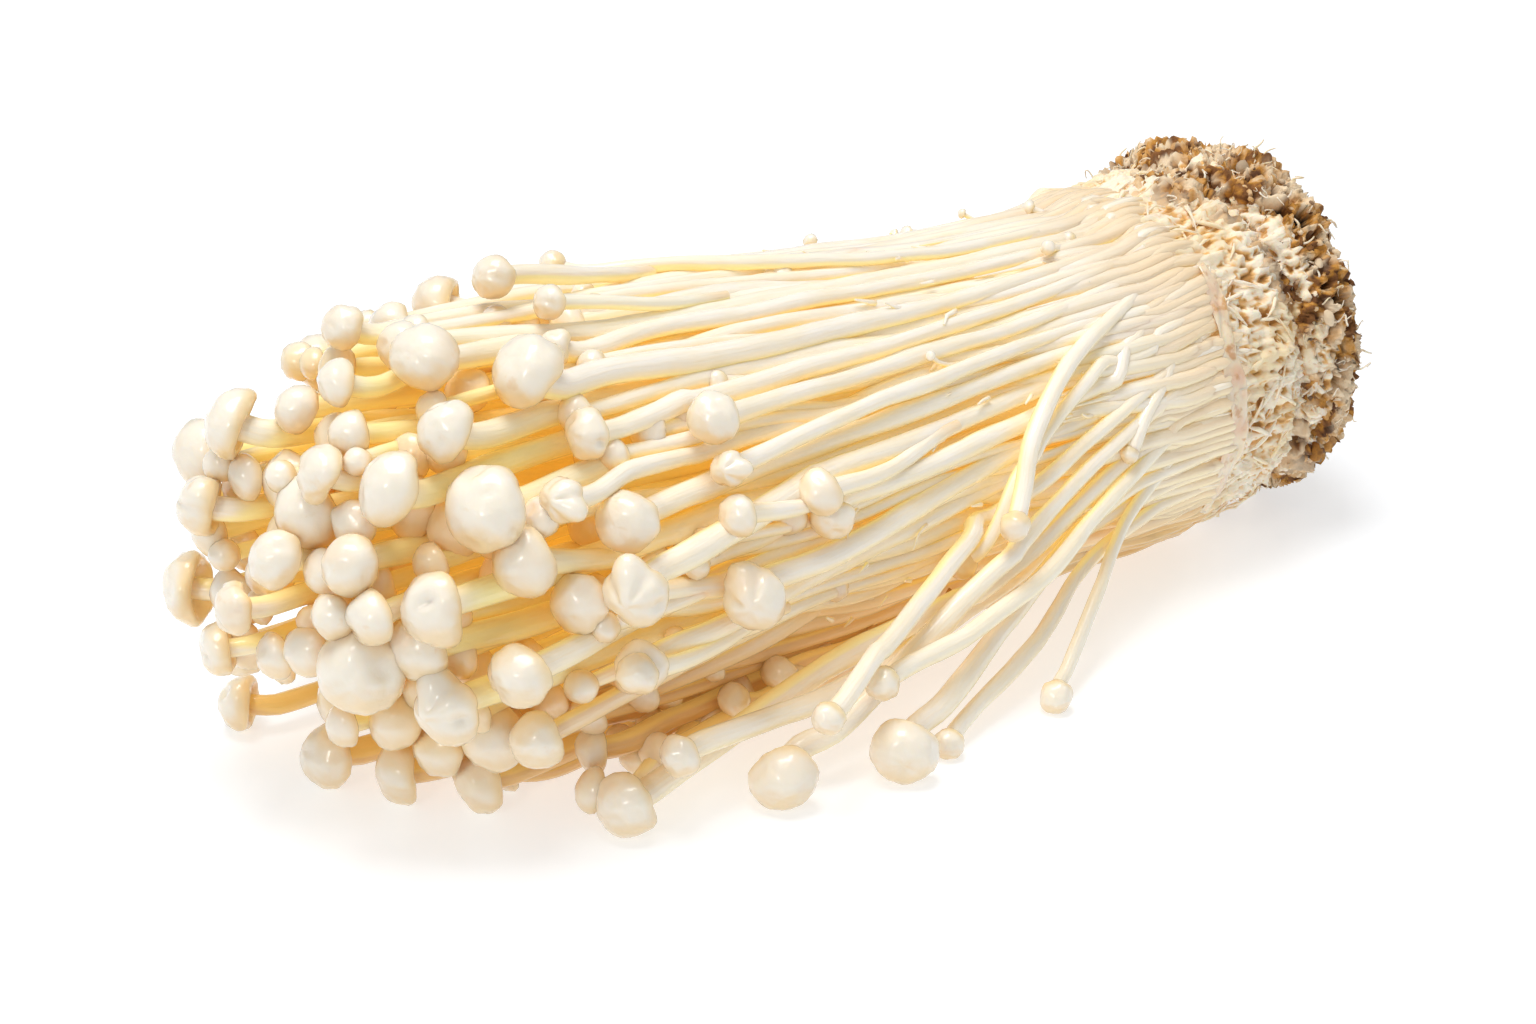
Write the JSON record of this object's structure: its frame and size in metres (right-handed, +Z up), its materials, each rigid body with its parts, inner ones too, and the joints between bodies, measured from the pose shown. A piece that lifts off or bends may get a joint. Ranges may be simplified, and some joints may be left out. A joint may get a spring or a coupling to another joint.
{
  "type": "enoki mushroom bunch",
  "caption": "Bunch of white enoki mushrooms lying on its side, with long thin stems, small round caps, and a fibrous root block crusted with growing substrate.",
  "frame": {"origin": "on the surface the bunch lies on, under the middle of its bounding box", "axes": "+X along the bunch towards the root block's crusted end, -X towards the caps, +Z up from the surface, -Y towards the side with the straying mushrooms"},
  "size_m": [0.1574, 0.073, 0.0548],
  "materials": {
    "cap_and_stem": "satin",
    "packed_stems": "satin",
    "mycelium": "matte",
    "substrate": "matte",
    "film": "satin"
  },
  "bodies": {
    "root": {"root_block": "mycelium", "substrate_crust": "substrate", "dried_film": "film", "packed_stems": "packed_stems", "end_mushroom_09": "cap_and_stem", "end_mushroom_02": "cap_and_stem", "end_mushroom_10": "cap_and_stem", "end_mushroom_06": "cap_and_stem", "end_mushroom_05": "cap_and_stem", "end_mushroom_01": "cap_and_stem", "end_mushroom_07": "cap_and_stem", "end_mushroom_11": "cap_and_stem", "end_mushroom_03": "cap_and_stem", "back_mushroom_01": "cap_and_stem", "back_mushroom_06": "cap_and_stem", "end_mushroom_04": "cap_and_stem", "end_mushroom_08": "cap_and_stem", "end_mushroom_12": "cap_and_stem", "end_mushroom_13": "cap_and_stem", "end_mushroom_14": "cap_and_stem", "top_mushroom_07": "cap_and_stem", "back_mushroom_03": "cap_and_stem", "end_mushroom_15": "cap_and_stem", "back_mushroom_08": "cap_and_stem", "top_mushroom_08": "cap_and_stem", "top_mushroom_03": "cap_and_stem", "side_mushroom_01": "cap_and_stem", "side_mushroom_05": "cap_and_stem", "back_mushroom_05": "cap_and_stem", "top_mushroom_04": "cap_and_stem", "end_mushroom_16": "cap_and_stem", "side_mushroom_06": "cap_and_stem", "back_mushroom_02": "cap_and_stem", "back_mushroom_07": "cap_and_stem", "side_mushroom_02": "cap_and_stem", "top_mushroom_06": "cap_and_stem", "back_mushroom_04": "cap_and_stem", "side_mushroom_04": "cap_and_stem", "loose_mushroom_01": "cap_and_stem", "top_mushroom_09": "cap_and_stem", "side_mushroom_03": "cap_and_stem", "side_mushroom_07": "cap_and_stem", "top_mushroom_01": "cap_and_stem", "loose_mushroom_02": "cap_and_stem", "top_mushroom_05": "cap_and_stem", "side_mushroom_08": "cap_and_stem", "side_mushroom_09": "cap_and_stem", "loose_mushroom_03": "cap_and_stem", "top_mushroom_10": "cap_and_stem", "loose_mushroom_08": "cap_and_stem", "top_mushroom_02": "cap_and_stem", "side_mushroom_10": "cap_and_stem", "loose_mushroom_07": "cap_and_stem", "loose_mushroom_04": "cap_and_stem", "loose_mushroom_05": "cap_and_stem", "side_mushroom_11": "cap_and_stem", "side_mushroom_12": "cap_and_stem", "loose_mushroom_06": "cap_and_stem", "side_mushroom_13": "cap_and_stem"}
  },
  "joints": []
}
